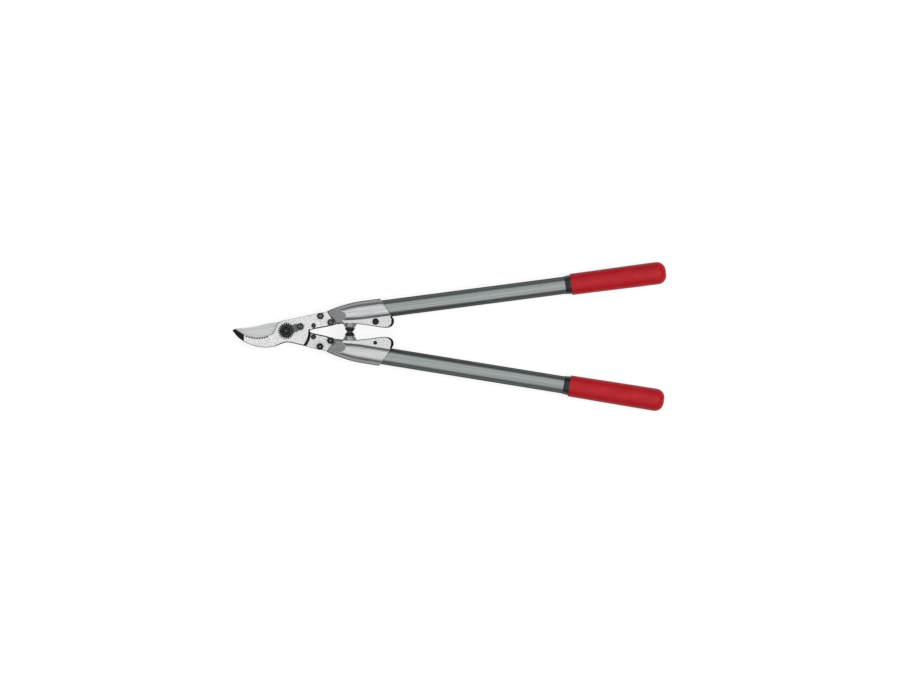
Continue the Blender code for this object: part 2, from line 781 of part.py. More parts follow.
def lockingScrew(steel):
    """The slotted screw that holds the segment on the counter blade."""
    seat = plateTop + 2 * clearance + segmentThickness
    top = seat + lockHeadHeight
    radius, head = lockScrewDiameter / 2, lockHeadDiameter / 2
    end = seam + lockHoleFloor + clearance
    shank = [(end, 0), (end, radius), (seat, radius)]
    profile = shank + [(seat, head), (top - 0.8, head), (top, head - 1.2), (top, 0)]
    made = solid("locking_screw", upright(turned(profile, smallSteps)), steel)
    made.location = Vector((*lockScrew, 0)) * mm
    half = lockSlotWidth / 2
    slot = plate([(-9, -half), (9, -half), (9, half), (-9, half)], top - 1.1, top + 3)
    turn = Matrix.Translation((*lockScrew, 0)) @ Matrix.Rotation(math.radians(62), 4, "Z")
    bmesh.ops.transform(slot, matrix=turn, verts=slot.verts)
    combine(made, helper("slot_cutter", slot), "DIFFERENCE")
    return settle(made)


def twin(made, arm):
    """The lower arm's copy of an upper piece, on the same mesh."""
    other = bpy.data.objects.new(made.name.replace("upper", "lower"), made.data)
    other.location = made.location
    other.rotation_euler = made.rotation_euler
    other.parent = arm
    bpy.context.scene.collection.objects.link(other)


def main():
    for old in list(bpy.data.objects):
        bpy.data.objects.remove(old)
    steel = finish("hardened_steel", (0.66, 0.68, 0.69), 0.32, 1.0)
    dark = finish("blackened_steel", (0.035, 0.036, 0.038), 0.42, 0.8)
    alloy = finish("cast_aluminium", (0.60, 0.62, 0.63), 0.38, 0.9)
    anodised = finish("anodised_tube", (0.33, 0.36, 0.36), 0.3, 0.9)
    red = finish("red_grip", (0.52, 0.012, 0.018), 0.5, 0.0)
    black = finish("black_rubber", (0.02, 0.02, 0.02), 0.6, 0.0)

    left = min(x for x, _ in hookOutline()[0])
    corner = onArm(gripEnd - gripEndRound, tubeOffset - (gripRearRadius - gripEndRound))
    right = corner[0] + gripEndRound
    tool = empty("tool", location=(-(left + right) / 2, 0, gripRearRadius))
    upper = empty("upper_arm", tool)
    lower = empty("lower_arm", tool, rotation=(math.pi, 0, 0))

    single = [
        counterBlade(steel),
        pivotBolt(dark),
        toothedNut(dark),
        lockingSegment(dark),
        lockingScrew(dark),
    ]
    shared = [
        headCasting(alloy),
        tube(anodised),
        collar(black),
        grip(red),
        buffer(black),
        bolt("upper_outer_bolt", outerBolt, dark),
        bolt("upper_inner_bolt", innerBolt, dark),
        nut("upper_outer_nut", outerBolt, dark),
        nut("upper_inner_nut", innerBolt, dark),
        pin(dark),
        clampScrew(dark),
    ]
    for made in single + shared:
        made.parent = upper
    for made in shared:
        twin(made, lower)
    cuttingBlade(steel).parent = lower
    clearHelpers()


main()
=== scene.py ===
import json
import math

import bpy
from mathutils import Matrix, Vector


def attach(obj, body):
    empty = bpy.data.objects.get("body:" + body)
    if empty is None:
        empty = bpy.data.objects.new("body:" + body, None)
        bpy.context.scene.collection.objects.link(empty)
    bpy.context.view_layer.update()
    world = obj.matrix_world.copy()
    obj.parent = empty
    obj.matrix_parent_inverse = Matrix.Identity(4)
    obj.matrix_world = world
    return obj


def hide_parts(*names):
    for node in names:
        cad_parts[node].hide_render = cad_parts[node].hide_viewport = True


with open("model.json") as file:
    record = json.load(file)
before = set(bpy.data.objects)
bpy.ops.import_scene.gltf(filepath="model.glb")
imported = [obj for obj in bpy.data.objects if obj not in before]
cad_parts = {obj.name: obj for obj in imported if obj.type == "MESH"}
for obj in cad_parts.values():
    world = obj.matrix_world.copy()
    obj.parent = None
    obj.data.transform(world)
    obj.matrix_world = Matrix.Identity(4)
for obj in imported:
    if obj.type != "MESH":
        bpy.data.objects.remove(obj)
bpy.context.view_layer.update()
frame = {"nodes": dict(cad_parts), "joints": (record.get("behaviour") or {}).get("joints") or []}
print("frame loaded:", len(frame["nodes"]), "nodes")

mm = 0.001
arms = ("upper", "lower")
pivot = Vector(frame["joints"][0]["pos_m"])  # on the seam between the two blades
armAngle = math.radians(8.31)  # a tube to the tool's centre line
armSlope = {"upper": armAngle, "lower": -armAngle}
tubeOffset = 12.7  # mm from the pivot to the line of a tube
seamGap = 0.15  # mm from the seam to each blade
air = 0.3  # mm left between pieces that touch
plateTop = 5.15  # mm from the seam to the outer face of a blade or a tongue
hair = 0.01  # mm that a cutting shape reaches past what it cuts
black, white = (0, 0, 0, 1), (1, 1, 1, 1)

# An arm's own frame has the pivot at its origin and the arm's outer side at +y.
armPlace = {
    "upper": Matrix.Translation(pivot),
    "lower": Matrix.Translation(pivot) @ Matrix.Rotation(math.pi, 4, "X"),
}
tubeLine = (
    Matrix.Rotation(armAngle, 4, "Z")
    @ Matrix.Translation((0, tubeOffset * mm, 0))
    @ Matrix.Rotation(math.pi / 2, 4, "Y")
)


# Small tools

def linear(hexColour):  # sRGB hex to the linear values that a shader takes
    parts = [int(hexColour[i:i + 2], 16) / 255 for i in (1, 3, 5)]
    return [c / 12.92 if c <= 0.04045 else ((c + 0.055) / 1.055) ** 2.4 for c in parts] + [1.0]


def addNode(tree, kind, settings, links):
    made = tree.nodes.new("ShaderNode" + kind)
    for name, value in settings.items():
        if name == "stops":
            for i, (place, colour) in enumerate(value):
                stops = made.color_ramp.elements
                stop = stops[i] if i < len(stops) else stops.new(place)
                stop.position = place
                stop.color = colour
        elif isinstance(name, int) or name in made.inputs:
            made.inputs[name].default_value = value
        else:
            setattr(made, name, value)
    for name, source in links.items():
        tree.links.new(source, made.inputs[name])
    return made


def deselect():
    if bpy.context.mode != "OBJECT":
        bpy.ops.object.mode_set(mode="OBJECT")
    bpy.ops.object.select_all(action="DESELECT")


def pick(made):
    deselect()
    made.select_set(True)
    bpy.context.view_layer.objects.active = made


def useModifier(made, kind, **settings):
    pick(made)
    modifier = made.modifiers.new(kind.lower(), kind)
    for name, value in settings.items():
        setattr(modifier, name, value)
    bpy.ops.object.modifier_apply(modifier=modifier.name)


def useBoolean(made, other, operation):
    useModifier(made, "BOOLEAN", object=other, operation=operation, solver="EXACT")
    bpy.data.objects.remove(other)


def softenEdges(made, width, angle=32):
    useModifier(
        made, "BEVEL", width=width * mm, segments=2, limit_method="ANGLE",
        angle_limit=math.radians(angle), use_clamp_overlap=True,
    )


def shadeByAngle(made, angle=32):
    pick(made)
    bpy.ops.object.shade_smooth_by_angle(angle=math.radians(angle))


def turn(name, profile, sides, closed=False):
    # A ring is drawn out along Z and resized at each point of the profile (height, radius), in mm.
    deselect()
    height, radius = profile[0]
    bpy.ops.mesh.primitive_circle_add(
        vertices=sides, radius=radius * mm, location=(0, 0, height * mm),
        fill_type="NOTHING" if closed else "NGON",
    )
    made = bpy.context.object
    made.name = name
    bpy.ops.object.transform_apply(location=True)
    bpy.ops.object.mode_set(mode="EDIT")
    bpy.ops.mesh.select_all(action="SELECT")
    for nextHeight, nextRadius in profile[1:] + (profile[:1] if closed else []):
        step = (nextHeight - height) * mm
        bpy.ops.mesh.extrude_edges_move(TRANSFORM_OT_translate={"value": (0, 0, step)})
        share = nextRadius / radius
        bpy.ops.transform.resize(value=(share, share, 1))
        height, radius = nextHeight, nextRadius
    if not closed:
        bpy.ops.mesh.edge_face_add()
    bpy.ops.mesh.select_all(action="SELECT")
    bpy.ops.mesh.remove_doubles(threshold=1e-6)
    bpy.ops.mesh.normals_make_consistent(inside=False)
    bpy.ops.object.mode_set(mode="OBJECT")
    return made


def corner(height, radius, size, first, last, count=6):  # an arc of the profile about a point
    angles = [math.radians(first + (last - first) * i / (count - 1)) for i in range(count)]
    return [(height + size * math.cos(a), radius + size * math.sin(a)) for a in angles]


def shift(x, y):  # to a place in plan, in mm from the pivot
    return Matrix.Translation((x * mm, y * mm, 0))


def moveBy(made, matrix):  # puts a place into the mesh, and the object back at the origin
    pick(made)
    made.matrix_world = matrix
    bpy.ops.object.transform_apply(location=True, rotation=True, scale=False)


def copyOfNode(node, name):  # a CAD node's shape in its arm's frame, merged
    made = bpy.data.objects.new(name, frame["nodes"][node].data.copy())
    bpy.context.scene.collection.objects.link(made)
    arm = "lower" if node == "cutting_blade" else "upper"
    moveBy(made, armPlace[arm].inverted())
    bpy.ops.object.mode_set(mode="EDIT")
    bpy.ops.mesh.select_all(action="SELECT")
    bpy.ops.mesh.remove_doubles(threshold=2e-6)
    bpy.ops.mesh.dissolve_limited(angle_limit=math.radians(0.6))
    bpy.ops.object.mode_set(mode="OBJECT")
    return made


def select(made, kind, choose):  # in edit mode, only the faces or edges that choose() names
    pick(made)
    bpy.ops.object.mode_set(mode="EDIT")
    bpy.ops.mesh.select_mode(type=kind)
    bpy.ops.mesh.select_all(action="DESELECT")
    bpy.ops.object.mode_set(mode="OBJECT")
    for part in made.data.polygons if kind == "FACE" else made.data.edges:
        part.select = choose(part)
    bpy.ops.object.mode_set(mode="EDIT")


def paint(made, materials, choose):  # a finish for each face, by its place and normal
    made.data.materials.clear()
    for material in materials:
        made.data.materials.append(material)
    for face in made.data.polygons:
        face.material_index = choose(face)


def spot(made, radius):  # 1 on level faces close round the Z axis, 0 elsewhere
    points = made.data.vertices
    return lambda face: int(
        abs(face.normal.z) > 0.95 and all(points[i].co.xy.length < radius * mm for i in face.vertices)
    )


def distanceTo(point, line):  # from a point to the nearest part of a line of points, in plan
    nearest = []
    for start, end in zip(line, line[1:]):
        step = Vector(end) - Vector(start)
        share = (Vector(point) - Vector(start)).dot(step) / step.length_squared
        nearest.append((Vector(point) - Vector(start) - step * min(max(share, 0.0), 1.0)).length)
    return min(nearest)


def settle(made, arm, nodes, materials):
    moveBy(made, armPlace[arm])
    useModifier(made, "WEIGHTED_NORMAL", keep_sharp=True)
    for i, material in enumerate(materials):
        if i < len(made.data.materials):
            made.data.materials[i] = material
        else:
            made.data.materials.append(material)
    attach(made, f"{arm}_arm")
    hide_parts(*nodes)


def settleBoth(made, nodeName, materialOf):
    # The template goes to the upper arm, and a copy with its own mesh to the lower one.
    stem = made.name
    pick(made)
    bpy.ops.object.duplicate()
    for piece, arm in ((made, "upper"), (bpy.context.object, "lower")):
        piece.name = f"{arm}_{stem}"
        settle(piece, arm, [f"{arm}_{nodeName}"], [materialOf[arm]] if materialOf else [])


# Materials

def newMaterial(name):
    material = bpy.data.materials.new(name)
    material.use_nodes = True
    tree = material.node_tree
    shader = tree.nodes["Principled BSDF"]
    place = addNode(tree, "TexCoord", {}, {}).outputs["Object"]
    return material, tree, shader, place


def awayFromPivot(tree, place):  # the way from the pivot to a point, in plan, and its length
    away = addNode(tree, "VectorMath", {"operation": "SUBTRACT", 1: pivot}, {0: place})
    level = {"operation": "MULTIPLY", 1: (1.0, 1.0, 0.0)}
    level = addNode(tree, "VectorMath", level, {0: away.outputs[0]}).outputs[0]
    radius = addNode(tree, "VectorMath", {"operation": "LENGTH"}, {0: level})
    return level, radius.outputs["Value"]


def longMarks(tree, place, size, turned, detail):  # a pattern drawn out one way, its size in mm
    scale = [length * mm for length in size]
    stretch = {"vector_type": "TEXTURE", "Scale": scale, "Rotation": (0, 0, turned)}
    along = addNode(tree, "Mapping", stretch, {"Vector": place})
    marks = {"Scale": 1.0, "Detail": detail}
    return addNode(tree, "TexNoise", marks, {"Vector": along.outputs["Vector"]}).outputs["Fac"]


def blastedGrain(tree, place, look):  # a fine dull grain: its colour and its relief
    # The real grain is about 0.2 mm. It is drawn coarser, so that the render shows it.
    grain = addNode(tree, "TexNoise", {"Scale": 1 / (look["grain"] * mm), "Detail": 6.0}, {"Vector": place})
    colours = {"stops": [(0.36, linear(look["dark"])), (0.6, linear(look["light"]))]}
    tint = addNode(tree, "ValToRGB", colours, {"Fac": grain.outputs["Fac"]})
    relief = {"Strength": 0.25, "Distance": look["relief"] * mm}
    bump = addNode(tree, "Bump", relief, {"Height": grain.outputs["Fac"]})
    return tint.outputs["Color"], bump.outputs["Normal"]


def peenedSteel():
    # Carbon steel, hardened, blasted and ground flat: nearly white, with a fine dull grain.
    # Round its foot, next to the other arm's tongue, it is painted black as shade.
    # Its near-black colour is painted shade for the foot.
    look = {
        "dark": "#C2C4C5", "light": "#F6F7F7", "scale": "#101113", "roughness": 0.4,
        "grain": 1.0, "relief": 0.03,
    }
    foot = {"radius": 30.2, "fade": 0.3, "below": 2.7}  # mm from the pivot
    material, tree, shader, place = newMaterial("blasted_ground_steel")
    tint, normal = blastedGrain(tree, place, look)
    level, radius = awayFromPivot(tree, place)
    edges = {"From Min": foot["radius"] * mm, "From Max": (foot["radius"] + foot["fade"]) * mm}
    far = addNode(tree, "MapRange", edges, {"Value": radius})
    parts = addNode(tree, "SeparateXYZ", {}, {"Vector": level})
    rear = addNode(tree, "Math", {"operation": "GREATER_THAN", 1: 0.0}, {0: parts.outputs["X"]})
    low = addNode(tree, "Math", {"operation": "LESS_THAN", 1: foot["below"] * mm}, {0: parts.outputs["Y"]})
    # Painted shade: black round the foot, behind the pivot and low on the blade.
    paintedShadeAndReflection = addNode(tree, "Math", {"operation": "MULTIPLY"}, {0: rear.outputs[0], 1: low.outputs[0]})
    paintedShadeAndReflection = addNode(tree, "Math", {"operation": "MULTIPLY"}, {0: far.outputs[0], 1: paintedShadeAndReflection.outputs[0]})
    mixed = addNode(
        tree, "Mix", {"data_type": "RGBA", 7: linear(look["scale"])}, {0: paintedShadeAndReflection.outputs[0], 6: tint},
    )
    tree.links.new(mixed.outputs[2], shader.inputs["Base Color"])
    tree.links.new(normal, shader.inputs["Normal"])
    shader.inputs["Metallic"].default_value = 0.85
    shader.inputs["Roughness"].default_value = look["roughness"]
    return material


def groundSteel():
    # Carbon steel with the long marks of the grinding wheel, drawn coarser than the real ones so
    # that they show, and a dark ring of painted shade under the gap at the hook's foot.
    look = {
        "dark": "#BDC0C1", "light": "#D8DADA", "gapShade": "#15161A", "roughness": 0.36,
        "marks": (60, 1.3, 60), "turned": 0.12, "relief": 0.02,
    }
    ring = {"inner": 29.0, "outer": 34.1, "edge": 0.7, "reach": 40.0}  # mm from the pivot
    material, tree, shader, place = newMaterial("hollow_ground_steel")
    marks = longMarks(tree, place, look["marks"], look["turned"], 4.0)
    colours = {"stops": [(0.38, linear(look["dark"])), (0.62, linear(look["light"]))]}
    tint = addNode(tree, "ValToRGB", colours, {"Fac": marks})
    level, radius = awayFromPivot(tree, place)
    reach = ring["reach"] * mm
    share = addNode(tree, "Math", {"operation": "DIVIDE", 1: reach}, {0: radius})
    edges = [ring["inner"], ring["inner"] + ring["edge"], ring["outer"] - ring["edge"], ring["outer"]]
    stops = [(edge * mm / reach, tone) for edge, tone in zip(edges, (black, white, white, black))]
    # Painted shade: a dark ring on the rear side, seen through the gap at the hook's foot.
    shadeRing = addNode(tree, "ValToRGB", {"stops": stops}, {"Fac": share.outputs[0]})
    rear = addNode(tree, "SeparateXYZ", {}, {"Vector": level})
    rear = addNode(tree, "Math", {"operation": "GREATER_THAN", 1: 0.0}, {0: rear.outputs["X"]})
    shadeRing = addNode(tree, "Math", {"operation": "MULTIPLY"}, {0: shadeRing.outputs["Color"], 1: rear.outputs[0]})
    mixed = addNode(
        tree, "Mix", {"data_type": "RGBA", 7: linear(look["gapShade"])},
        {0: shadeRing.outputs[0], 6: tint.outputs["Color"]},
    )
    relief = {"Strength": 0.2, "Distance": look["relief"] * mm}
    bump = addNode(tree, "Bump", relief, {"Height": marks})
    tree.links.new(mixed.outputs[2], shader.inputs["Base Color"])
    tree.links.new(bump.outputs["Normal"], shader.inputs["Normal"])
    shader.inputs["Metallic"].default_value = 0.85
    shader.inputs["Roughness"].default_value = look["roughness"]
    return material


def paintedTopLight(tree, low, high):
    # Painted top light and painted shade: 0 on upright sides, 1 where a surface lies level, for mixing its
    # colour.
    normal = addNode(tree, "TexCoord", {}, {}).outputs["Normal"]
    height = addNode(tree, "SeparateXYZ", {}, {"Vector": normal}).outputs["Z"]
    level = addNode(tree, "Math", {"operation": "ABSOLUTE"}, {0: height})
    share = {"interpolation_type": "SMOOTHSTEP", "From Min": low, "From Max": high}
    return addNode(tree, "MapRange", share, {"Value": level.outputs[0]}).outputs[0]


def castAluminium(name, arm, crest):
    # Die-cast aluminium, satin, with faint marks along the arm and a bumpy skin. Its colour is painted bright
    # on the level crests and darker on the upright sides, as painted top light and painted shade. The marks
    # and the skin are drawn coarse enough to show.
    look = {
        "paintedShadeSide": "#A2A4A6", "dark": "#BFC1C2", "light": "#DADCDD", "gloss": "#2A2A2A", "roughness": 0.27,
        "marks": (45, 2.2, 2.2), "skin": 1.0, "relief": 0.02,
    }
    material, tree, shader, place = newMaterial(name)
    mottle = longMarks(tree, place, look["marks"], armSlope[arm], 4.0)
    skin = addNode(tree, "TexNoise", {"Scale": 1 / (look["skin"] * mm), "Detail": 2.0}, {"Vector": place})
    colours = {"stops": [(0.34, linear(look["dark"])), (0.66, linear(look["light"]))]}
    tint = addNode(tree, "ValToRGB", colours, {"Fac": mottle})
    # Painted shade: the upright sides take the darker colour, the level crests the brighter one.
    mixed = addNode(
        tree, "Mix", {"data_type": "RGBA", 6: linear(look["paintedShadeSide"])},
        {0: paintedTopLight(tree, *crest), 7: tint.outputs["Color"]},
    )
    relief = {"Strength": 0.06, "Distance": look["relief"] * mm}
    bump = addNode(tree, "Bump", relief, {"Height": skin.outputs["Fac"]})
    tree.links.new(mixed.outputs[2], shader.inputs["Base Color"])
    tree.links.new(bump.outputs["Normal"], shader.inputs["Normal"])
    shader.inputs["Metallic"].default_value = 0.75
    shader.inputs["Roughness"].default_value = look["roughness"]
    shader.inputs["Specular IOR Level"].default_value = 0.1
    shader.inputs["Specular Tint"].default_value = linear(look["gloss"])
    return material


def machinedAluminium():
    # The same casting where it is milled flat and blasted: nearly white, with a fine dull grain.
    look = {"dark": "#B4B6B7", "light": "#EEEFEF", "roughness": 0.42, "grain": 1.0, "relief": 0.03}
    material, tree, shader, place = newMaterial("milled_blasted_aluminium")
    tint, normal = blastedGrain(tree, place, look)
    tree.links.new(tint, shader.inputs["Base Color"])
    tree.links.new(normal, shader.inputs["Normal"])
    shader.inputs["Metallic"].default_value = 0.8
    shader.inputs["Roughness"].default_value = look["roughness"]
    return material


def anodisedAluminium(arm):
    # Drawn aluminium tube, anodised grey with a green cast: faint lines run along it, drawn coarse
    # enough to show, and its colour is painted paler where it faces up or down and darker on the sides, as
    # painted top light and painted shade.
    look = {
        "side": "#656B6B", "dark": "#8F9595", "light": "#A9AEAE", "gloss": "#202020", "roughness": 0.28,
        "lines": (400, 1.5, 1.5), "crest": (0.68, 0.86),
    }
    material, tree, shader, place = newMaterial(f"anodised_drawn_tube_{arm}")
    lines = longMarks(tree, place, look["lines"], armSlope[arm], 3.0)
    colours = {"stops": [(0.35, linear(look["dark"])), (0.65, linear(look["light"]))]}
    tint = addNode(tree, "ValToRGB", colours, {"Fac": lines})
    # Painted shade: the upright sides take the darker side colour, the level top and bottom the paler one.
    mixed = addNode(
        tree, "Mix", {"data_type": "RGBA", 6: linear(look["side"])},
        {0: paintedTopLight(tree, *look["crest"]), 7: tint.outputs["Color"]},
    )
    tree.links.new(mixed.outputs[2], shader.inputs["Base Color"])
    shader.inputs["Metallic"].default_value = 0.75
    shader.inputs["Roughness"].default_value = look["roughness"]
    shader.inputs["Specular IOR Level"].default_value = 0.1
    shader.inputs["Specular Tint"].default_value = linear(look["gloss"])
    return material


def redVinyl():
    # Dip-moulded soft vinyl: an even red with a low sheen and a faint orange-peel skin.
    look = {
        "dark": "#BC1521", "light": "#CA1B28", "roughness": 0.46, "sheen": 0.22,
        "peel": 2.2, "relief": 0.08, "cloud": 14.0,
    }
    material, tree, shader, place = newMaterial("dip_moulded_red_vinyl")
    cloud = addNode(tree, "TexNoise", {"Scale": 1 / (look["cloud"] * mm), "Detail": 3.0}, {"Vector": place})
    peel = addNode(tree, "TexNoise", {"Scale": 1 / (look["peel"] * mm), "Detail": 2.0}, {"Vector": place})
    colours = {"stops": [(0.3, linear(look["dark"])), (0.7, linear(look["light"]))]}
    tint = addNode(tree, "ValToRGB", colours, {"Fac": cloud.outputs["Fac"]})
    relief = {"Strength": 0.25, "Distance": look["relief"] * mm}
    bump = addNode(tree, "Bump", relief, {"Height": peel.outputs["Fac"]})
    tree.links.new(tint.outputs["Color"], shader.inputs["Base Color"])
    tree.links.new(bump.outputs["Normal"], shader.inputs["Normal"])
    shader.inputs["Roughness"].default_value = look["roughness"]
    shader.inputs["IOR"].default_value = 1.5
    shader.inputs["Specular IOR Level"].default_value = look["sheen"]
    return material


def blackOxideSteel(name, dark, light, roughness):
    # Steel, black oxide finish: near black, and slightly uneven where it is handled.
    look = {"cloud": 1.8, "metallic": 0.7}
    material, tree, shader, place = newMaterial(name)
    cloud = addNode(tree, "TexNoise", {"Scale": 1 / (look["cloud"] * mm), "Detail": 3.0}, {"Vector": place})
    colours = {"stops": [(0.35, linear(dark)), (0.7, linear(light))]}
    tint = addNode(tree, "ValToRGB", colours, {"Fac": cloud.outputs["Fac"]})
    tree.links.new(tint.outputs["Color"], shader.inputs["Base Color"])
    shader.inputs["Metallic"].default_value = look["metallic"]
    shader.inputs["Roughness"].default_value = roughness
    return material


def blackRubber():
    # Moulded rubber: matt black with a fine dusty skin.
    look = {"dark": "#121213", "light": "#222224", "roughness": 0.62, "skin": 1.2, "relief": 0.05}
    material, tree, shader, place = newMaterial("moulded_black_rubber")
    skin = addNode(tree, "TexNoise", {"Scale": 1 / (look["skin"] * mm), "Detail": 3.0}, {"Vector": place})
    colours = {"stops": [(0.3, linear(look["dark"])), (0.7, linear(look["light"]))]}
    tint = addNode(tree, "ValToRGB", colours, {"Fac": skin.outputs["Fac"]})
    relief = {"Strength": 0.3, "Distance": look["relief"] * mm}
    bump = addNode(tree, "Bump", relief, {"Height": skin.outputs["Fac"]})
    tree.links.new(tint.outputs["Color"], shader.inputs["Base Color"])
    tree.links.new(bump.outputs["Normal"], shader.inputs["Normal"])
    shader.inputs["Roughness"].default_value = look["roughness"]
    return material


def blackPolymer():
    # Injection-moulded black plastic with a light sparkle of texture.
    look = {"dark": "#0E0E10", "light": "#1E1F21", "roughness": 0.38, "texture": 0.8}
    material, tree, shader, place = newMaterial("moulded_black_plastic")
    skin = addNode(tree, "TexNoise", {"Scale": 1 / (look["texture"] * mm), "Detail": 2.0}, {"Vector": place})
    colours = {"stops": [(0.3, linear(look["dark"])), (0.75, linear(look["light"]))]}
    tint = addNode(tree, "ValToRGB", colours, {"Fac": skin.outputs["Fac"]})
    tree.links.new(tint.outputs["Color"], shader.inputs["Base Color"])
    shader.inputs["Roughness"].default_value = look["roughness"]
    return material


steelPlate = peenedSteel()
steelBlade = groundSteel()
# The heads' level crests are painted bright and their upright sides darker, as painted top light and painted
# shade.
castMetal = {arm: castAluminium(f"tumbled_cast_aluminium_{arm}", arm, crest=(0.78, 0.985)) for arm in arms}
# The cup is painted the same way, brighter where it lies level and darker on its sides, over a wider band.
cupMetal = castAluminium("turned_cast_aluminium", "upper", crest=(0.3, 0.7))
milledMetal = machinedAluminium()
tubeMetal = {arm: anodisedAluminium(arm) for arm in arms}
vinyl = redVinyl()
blackSteel = blackOxideSteel("black_oxide_steel", "#1A1B1D", "#2E3033", roughness=0.4)
greySteel = blackOxideSteel("phosphated_steel", "#585A5C", "#76787A", roughness=0.42)
# Dark grey: painted shade on the blades' edges and sides, and a painted highlight on the pivot bolt's end and
# the nut's hexagon chamfer.
shadeAndHighlightGrey = blackOxideSteel("painted_shade_and_highlight_grey", "#46484A", "#5E6062", roughness=0.45)
# Near-black painted shade and painted dark reflection, laid on edges, grooves, gaps and the hook's tip.
darkFlat = blackOxideSteel("painted_shade_and_reflection_black", "#0E0F11", "#18191B", roughness=0.5)
rubber = blackRubber()
plastic = blackPolymer()
print("materials made")


# Blades

def widenRim(made, width, choose):  # a second, flatter chamfer along part of the top face's rim
    level = [key for face in made.data.polygons if face.normal.z > 0.99 for key in face.edge_keys]

    def onRim(edge):
        start, end = (made.data.vertices[i].co for i in edge.vertices)
        middle = (start + end) / 2 / mm
        return level.count(edge.key) == 1 and middle.z > plateTop - 0.05 and choose(middle.x, middle.y)

    select(made, "EDGE", onRim)
    bpy.ops.mesh.bevel(offset=width * mm, segments=1)
    bpy.ops.object.mode_set(mode="OBJECT")


def hookBlade():
    # The rims of its neck and its jaw are eased. Its small notches, its neck, its foot and its tang's
    # inner edge are painted black as shade, and the flat at its tip is painted black as a dark reflection.
    look = {
        "edge": 0.12, "tipStart": -58.4, "tangStart": 31.0, "heel": 9.0,
        "neckStart": -15.0, "neckSide": -9, "footStart": 24.0, "footSide": 2.8,
        "jawEnd": -6.5, "jawSide": -8, "widenNeck": 0.5, "widenJaw": 0.3,
        "notches": (-58.0, -22.0), "notchRise": 1.2, "notchSide": -13.2, "hub": (-1.2, 45.0),
        "groove": 1.42, "grooveFloor": 0.45, "inset": 0.4, "deep": 2.6,
    }
    made = copyOfNode("counter_blade", "hooked_counter_blade")
    first, last = look["notches"]
    floor = plateTop - look["notchRise"]
    bottoms = [
        vertex.co / mm for vertex in made.data.vertices
        if abs(vertex.co.z / mm - floor) < 0.02 and first < vertex.co.x / mm < last
    ]
    middle = sum(bottoms, Vector()) / len(bottoms)
    hub = Vector((middle.x + look["hub"][0], middle.y + look["hub"][1]))  # the arc of notches is about this
    grooves = [bottom + (bottom.xy - hub).normalized().to_3d() * look["inset"] for bottom in bottoms]
    shape = [(plateTop - look["deep"], look["grooveFloor"]), (plateTop + 0.2, look["groove"] + 0.04)]
    cone = turn("groove", shape, sides=20)
    cutters = []
    for groove in grooves:
        pick(cone)
        bpy.ops.object.duplicate()
        moveBy(bpy.context.object, shift(groove.x, groove.y))
        cutters.append(bpy.context.object)
    bpy.data.objects.remove(cone)
    deselect()
    for cutter in cutters:
        cutter.select_set(True)
    bpy.context.view_layer.objects.active = cutters[0]
    bpy.ops.object.join()
    useBoolean(made, bpy.context.object, "DIFFERENCE")

    def onNeck(x, y):
        return look["neckStart"] < x < look["footStart"] and y < look["neckSide"]

    def onFoot(x, y):
        return x > look["footStart"] and y < look["footSide"]

    def onJaw(x, y):
        return last < x < look["jawEnd"] and y > look["jawSide"]

    widenRim(made, look["widenNeck"], onNeck)
    widenRim(made, look["widenJaw"], onJaw)
    softenEdges(made, look["edge"])

    def finishOf(face):
        bright, paintedShadeAndReflection, edgeShadeGrey = range(3)
        x, y = face.center.x / mm, face.center.y / mm
        normal = face.normal
        lowest = min(made.data.vertices[i].co.z for i in face.vertices) / mm
        # Painted dark reflection: the flat at the tip is black.
        if 0.9 < normal.z < 0.995 and x < look["tipStart"]:
            return paintedShadeAndReflection
        groove = any((face.center / mm - place).xy.length < look["groove"] + 0.1 for place in grooves)
        # Painted shade: the notch grooves are black.
        if groove and lowest < plateTop - 0.3 and normal.z > -0.5:
            return paintedShadeAndReflection
        if normal.z > 0.96 or (first < x < last and y > look["notchSide"] and normal.z > 0.3):
            return bright
        # Painted shade: the tang's inner edge is black.
        if normal.y < -0.3 and x > look["tangStart"]:
            return paintedShadeAndReflection
        if normal.x > 0.4 and y > look["heel"]:
            return bright
        # Painted shade: the neck and foot rims are black, and other edges and sides are dark grey.
        return paintedShadeAndReflection if (onNeck(x, y) or onFoot(x, y)) and normal.z > 0.15 else edgeShadeGrey

    paint(made, (steelPlate, darkFlat, shadeAndHighlightGrey), finishOf)
    shadeByAngle(made)
    settle(made, "upper", ["counter_blade"], [])


def shearBlade():
    look = {"edge": 0.2}
    made = copyOfNode("cutting_blade", "ground_cutting_blade")
    softenEdges(made, look["edge"])
    # Painted shade: the blade's edges and sides are dark grey.
    paint(made, (steelBlade, shadeAndHighlightGrey), lambda face: 0 if abs(face.normal.z) > 0.9 else 1)
    shadeByAngle(made)
    settle(made, "lower", ["cutting_blade"], [])


hookBlade()
shearBlade()
print("blades made")


# Cast heads

casting = {
    "voxel": 0.5, "passes": 4,
    "innerLine": [(34.0, 2.1), (36.6, 2.7), (53.7, 6.0), (64.3, 9.7), (77.5, 11.1)],  # along its inner edge
    "innerWidth": 1.5, "innerSide": 14.0,
    "paintedShadeStart": 30, "paintedShadeEnd": 53.5, "paintedShadeTop": -3.0,  # painted black shade on the tongue's outer edge
    "tongueEnd": 66.0, "flange": 10.4, "flangeSide": 4.0, "rear": 137.0, "rearSide": 1.0,
    "cupFront": 79.5, "cup": 87.6, "cupReach": 10.5, "cupSide": 11.8,
}


